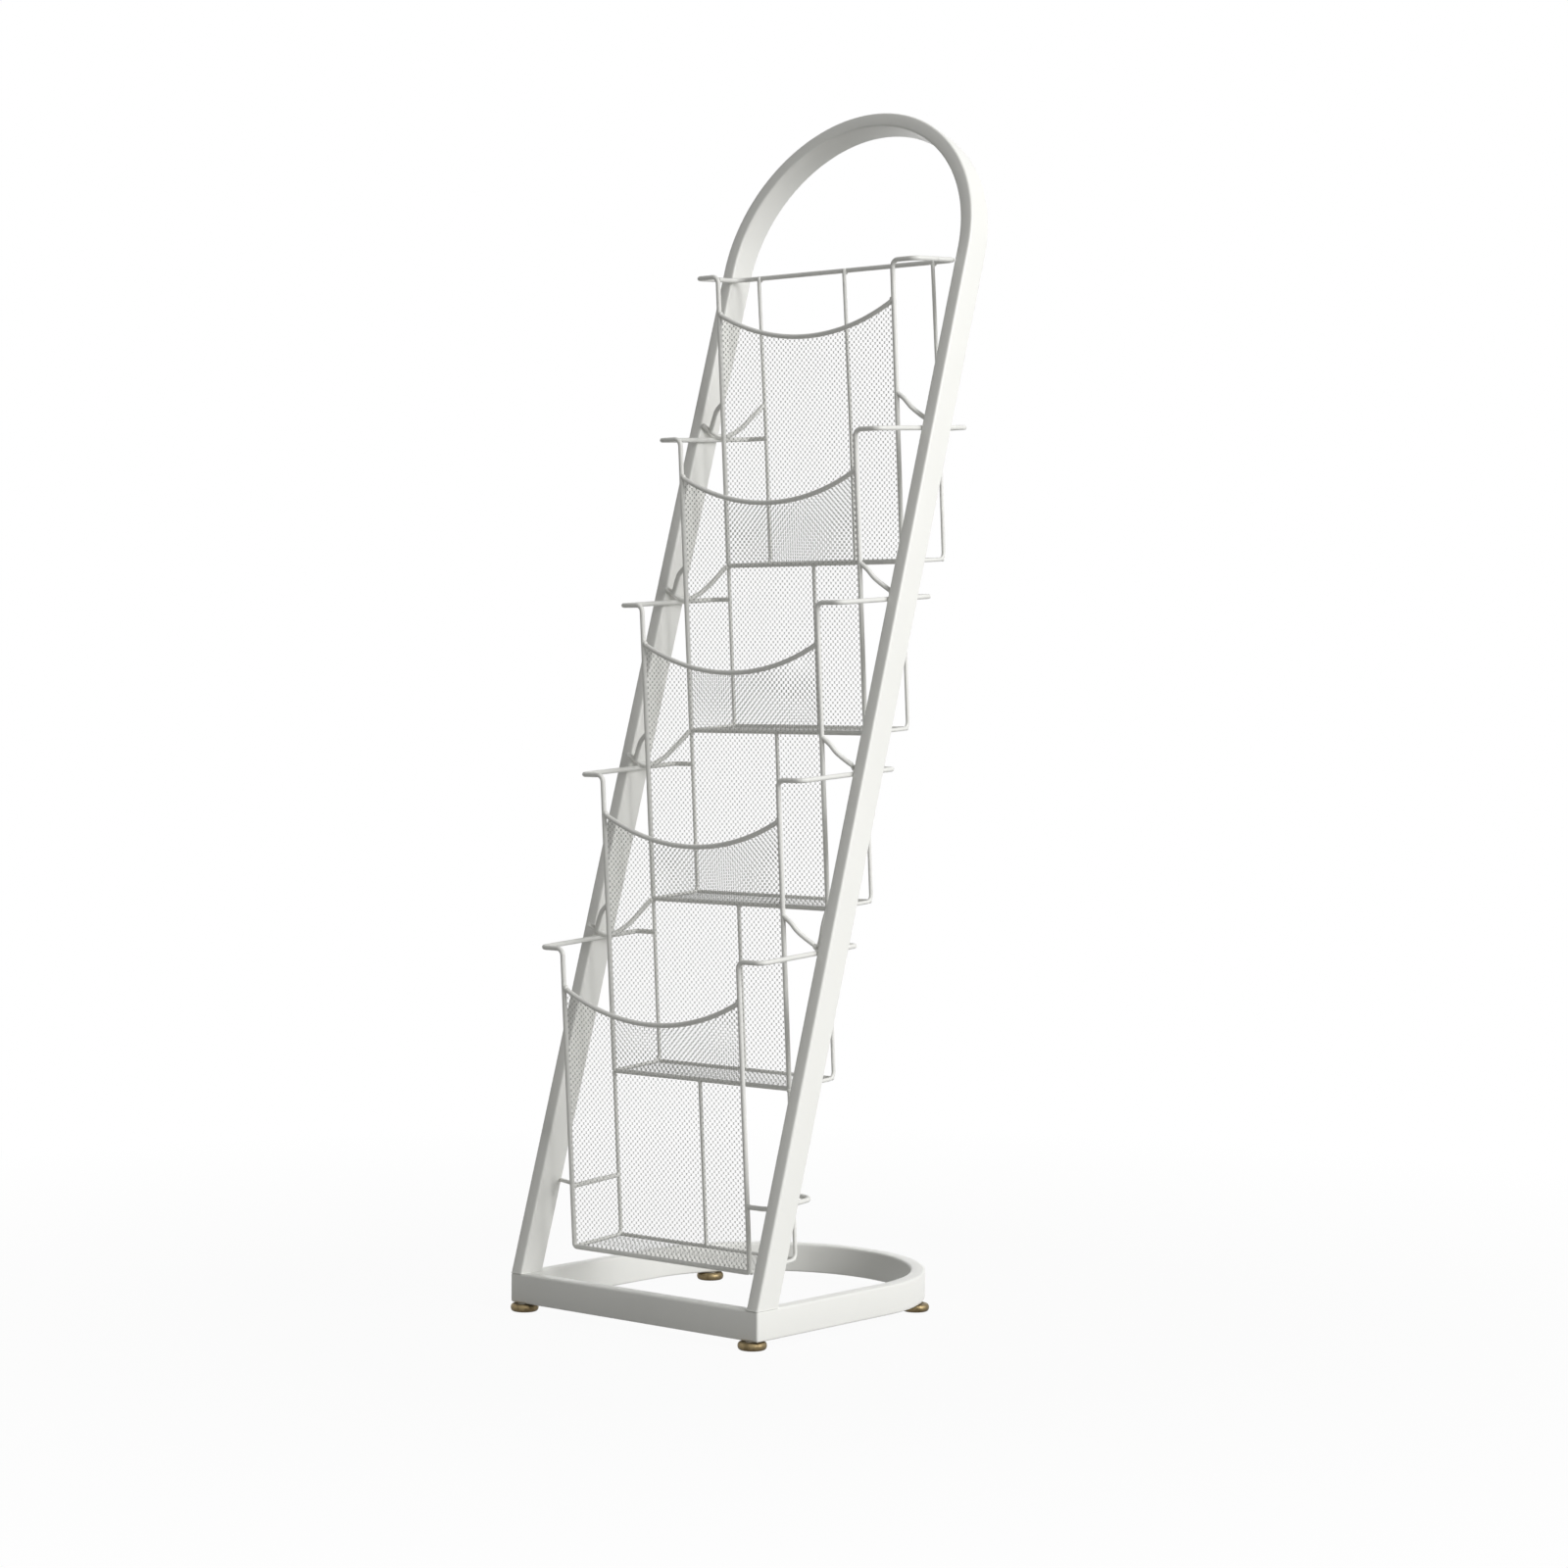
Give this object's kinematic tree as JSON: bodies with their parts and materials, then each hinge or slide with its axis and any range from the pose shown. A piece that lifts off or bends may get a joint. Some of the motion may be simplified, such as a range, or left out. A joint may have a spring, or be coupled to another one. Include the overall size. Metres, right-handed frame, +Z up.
{
  "type": "periodical display rack",
  "caption": "Free-standing magazine rack: a leaning tube arch on a hoop base carries stepped wire and mesh pockets with scooped fronts, and stands on screw-in levelling feet.",
  "frame": {"origin": "on the floor, under the middle of the rack's bounding box", "axes": "+Z up, +Y from the front of the rack to its back, +X to the right seen from the front"},
  "size_m": [0.3328, 0.3988, 1.2418],
  "materials": {
    "powder_coat": "satin white powder coat",
    "brass": "aged satin brass",
    "insert_steel": "plain zinc plate"
  },
  "bodies": {
    "rack": {"arch_frame": "powder_coat", "base_front_bar": "powder_coat", "base_hoop": "powder_coat", "insert_front_left": "insert_steel", "insert_front_right": "insert_steel", "insert_rear_left": "insert_steel", "insert_rear_right": "insert_steel", "pocket_1_front_wire": "powder_coat", "pocket_1_scoop_wire": "powder_coat", "pocket_1_rear_rim": "powder_coat", "pocket_1_rear_tee": "powder_coat", "pocket_1_rear_left": "powder_coat", "pocket_1_rear_right": "powder_coat", "pocket_1_hanger_left": "powder_coat", "pocket_1_hanger_right": "powder_coat", "pocket_1_front_mesh": "powder_coat", "pocket_1_bottom_mesh": "powder_coat", "pocket_2_front_wire": "powder_coat", "pocket_2_scoop_wire": "powder_coat", "pocket_2_rear_tee": "powder_coat", "pocket_2_rear_left": "powder_coat", "pocket_2_rear_right": "powder_coat", "pocket_2_hanger_left": "powder_coat", "pocket_2_hanger_right": "powder_coat", "pocket_2_front_mesh": "powder_coat", "pocket_2_bottom_mesh": "powder_coat", "pocket_3_front_wire": "powder_coat", "pocket_3_scoop_wire": "powder_coat", "pocket_3_rear_tee": "powder_coat", "pocket_3_rear_left": "powder_coat", "pocket_3_rear_right": "powder_coat", "pocket_3_hanger_left": "powder_coat", "pocket_3_hanger_right": "powder_coat", "pocket_3_front_mesh": "powder_coat", "pocket_3_bottom_mesh": "powder_coat", "pocket_4_front_wire": "powder_coat", "pocket_4_scoop_wire": "powder_coat", "pocket_4_rear_tee": "powder_coat", "pocket_4_rear_left": "powder_coat", "pocket_4_rear_right": "powder_coat", "pocket_4_hanger_left": "powder_coat", "pocket_4_hanger_right": "powder_coat", "pocket_4_front_mesh": "powder_coat", "pocket_4_bottom_mesh": "powder_coat", "pocket_5_front_wire": "powder_coat", "pocket_5_scoop_wire": "powder_coat", "pocket_5_rear_tee": "powder_coat", "pocket_5_rear_left": "powder_coat", "pocket_5_rear_right": "powder_coat", "pocket_5_loop_right": "powder_coat", "pocket_5_rail_left": "powder_coat", "pocket_5_tie_left": "powder_coat", "pocket_5_front_mesh": "powder_coat", "pocket_5_bottom_mesh": "powder_coat"},
    "front_left_foot": {"foot_front_left": "brass"},
    "front_right_foot": {"foot_front_right": "brass"},
    "rear_left_foot": {"foot_rear_left": "brass"},
    "rear_right_foot": {"foot_rear_right": "brass"}
  },
  "joints": [
    {"name": "front_left_levelling", "type": "slide", "parent": "rack", "child": "front_left_foot", "axis": [0, 0, 1], "range_m": [-0.01, 0]},
    {"name": "front_right_levelling", "type": "slide", "parent": "rack", "child": "front_right_foot", "axis": [0, 0, 1], "range_m": [-0.01, 0]},
    {"name": "rear_left_levelling", "type": "slide", "parent": "rack", "child": "rear_left_foot", "axis": [0, 0, 1], "range_m": [-0.01, 0]},
    {"name": "rear_right_levelling", "type": "slide", "parent": "rack", "child": "rear_right_foot", "axis": [0, 0, 1], "range_m": [-0.01, 0]}
  ]
}
